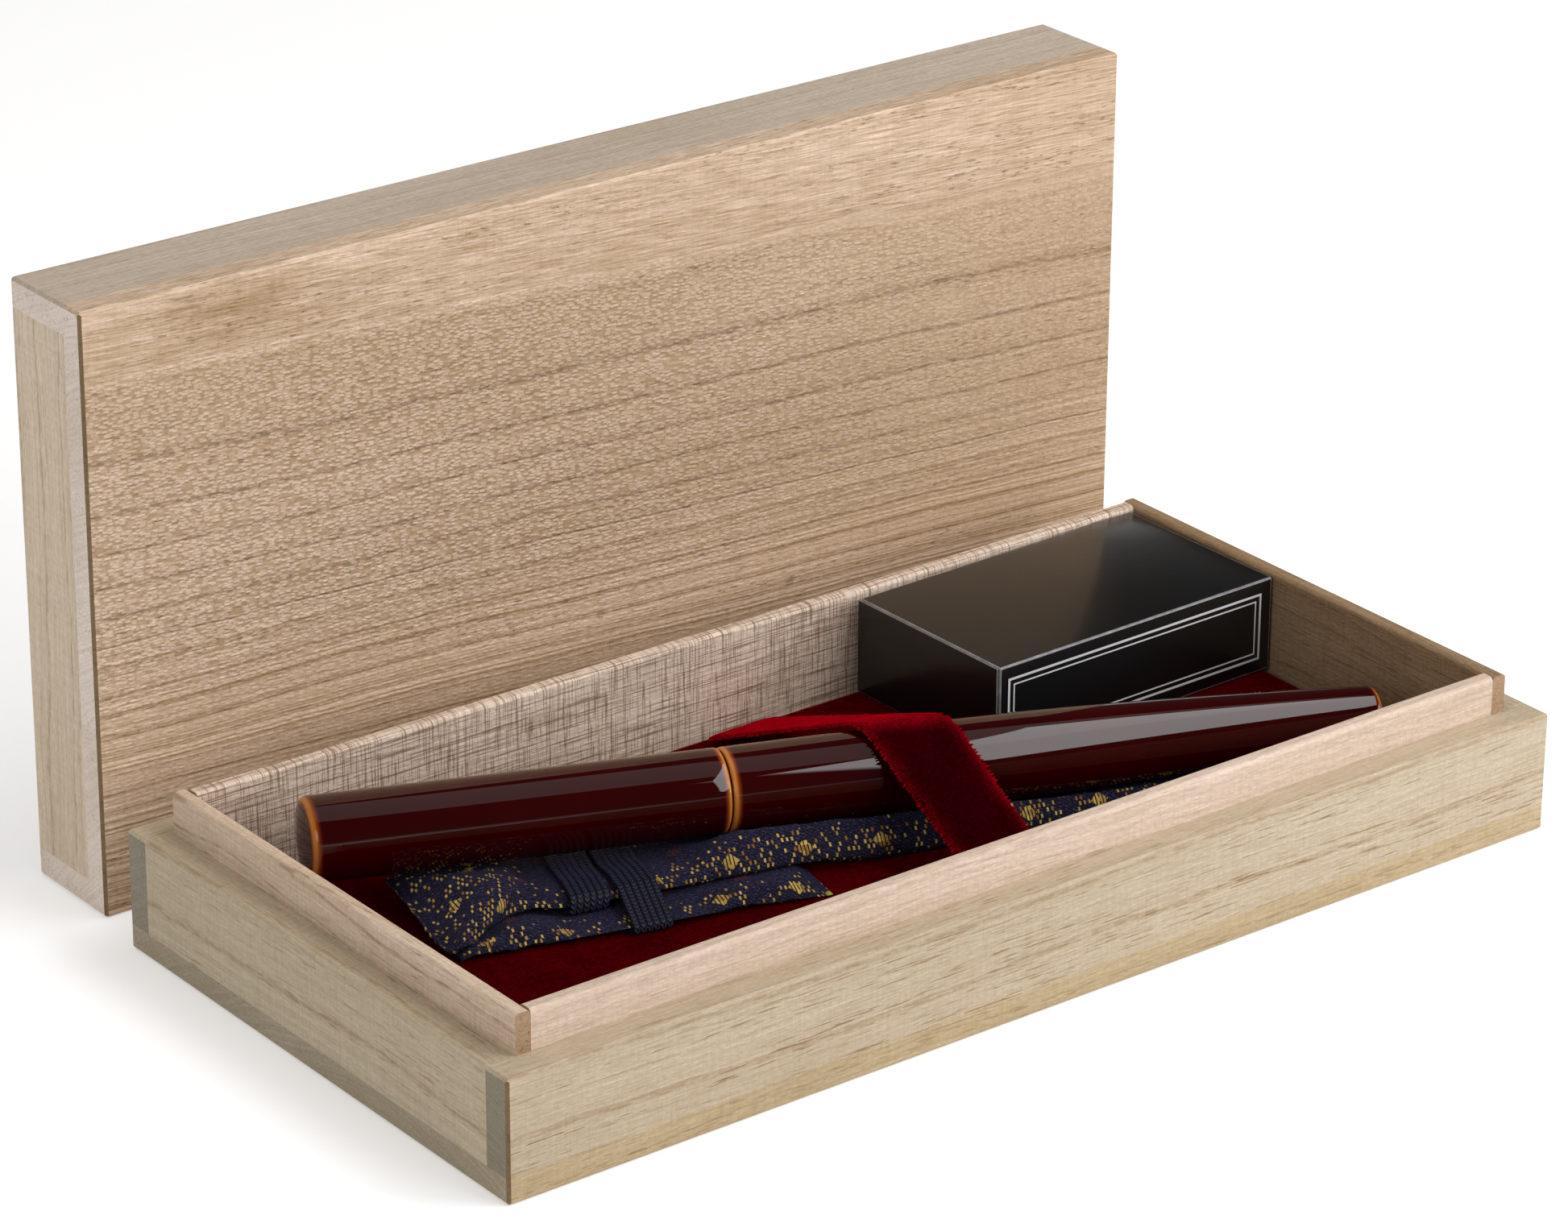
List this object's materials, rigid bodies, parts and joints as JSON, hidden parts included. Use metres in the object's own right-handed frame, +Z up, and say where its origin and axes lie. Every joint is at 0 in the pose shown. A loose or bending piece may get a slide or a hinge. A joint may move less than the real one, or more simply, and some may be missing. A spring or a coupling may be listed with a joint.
{
  "type": "fountain pen case",
  "caption": "Shallow wooden presentation case shown open: lift-off lid standing behind, velvet pad with holding band, capped fountain pen on a cord-tied cloth sleeve, and an ink carton.",
  "frame": {"origin": "middle of the base's underside, on the table", "axes": "+X along the case, from the pen's cap to its end; +Y from the front board to the standing lid; +Z up"},
  "size_m": [0.212, 0.1355, 0.104],
  "materials": {
    "wood_outer": "bare planed paulownia, matt",
    "wood_inner": "bare paulownia, matt",
    "pad_card": "grey-brown board, matt",
    "pad_foam": "soft foam sheet",
    "velvet": "crimson velvet pile",
    "lacquer": "deep maroon translucent lacquer, polished",
    "pen_plastic": "black moulded plastic",
    "nib": "gold coloured, polished",
    "cartridge": "ink-filled plastic",
    "brocade": "indigo cloth woven with gold thread",
    "cord": "flat navy braid",
    "carton": "glossy black card"
  },
  "bodies": {
    "base": {"bottom_board": "wood_outer", "front_board": "wood_outer", "back_board": "wood_outer", "left_end_board": "wood_outer", "right_end_board": "wood_outer", "front_liner": "wood_inner", "back_liner": "wood_inner", "left_liner": "wood_inner", "right_liner": "wood_inner"},
    "lid": {"lid_panel": "wood_outer", "lid_front_board": "wood_outer", "lid_back_board": "wood_outer", "lid_left_end": "wood_outer", "lid_right_end": "wood_outer"},
    "pad": {"pad_card": "pad_card", "pad_foam": "pad_foam", "velvet_cover": "velvet", "holding_band": "velvet"},
    "pen": {"pen_barrel": "lacquer", "grip_section": "pen_plastic", "nib": "nib", "ink_feed": "pen_plastic", "pen_cartridge": "cartridge"},
    "cap": {"pen_cap": "lacquer", "inner_cap": "pen_plastic"},
    "sleeve": {"brocade_sleeve": "brocade", "sleeve_flap": "brocade", "sleeve_cord": "cord"},
    "carton": {"carton_shell": "carton", "ink_cartridges": "cartridge"},
    "carton_end": {"carton_flap": "carton"}
  },
  "joints": [
    {"name": "lid_lift", "type": "slide", "parent": "base", "child": "lid", "axis": [0, 0, 1], "range_m": [0, 0.12]},
    {"name": "pad_lift", "type": "slide", "parent": "base", "child": "pad", "axis": [0, 0, 1], "range_m": [0, 0.05]},
    {"name": "pen_slide", "type": "slide", "parent": "pad", "child": "pen", "axis": [0.9428, -0.3329, -0.0185], "range_m": [0, 0.008]},
    {"name": "cap_pull", "type": "slide", "parent": "pen", "child": "cap", "axis": [-0.9428, 0.3329, 0.0185], "range_m": [0, 0.006]},
    {"name": "sleeve_slide", "type": "slide", "parent": "pad", "child": "sleeve", "axis": [0.9781, -0.2079, 0], "range_m": [-0.008, 0.008]},
    {"name": "carton_lift", "type": "slide", "parent": "pad", "child": "carton", "axis": [0, 0, 1], "range_m": [0, 0.04]},
    {"name": "carton_flap_hinge", "type": "hinge", "parent": "carton", "child": "carton_end", "pos_m": [0.03447, 0.02382, 0.02725], "axis": [-0.0209, 0.9998, 0], "range_deg": [0, 100]}
  ]
}
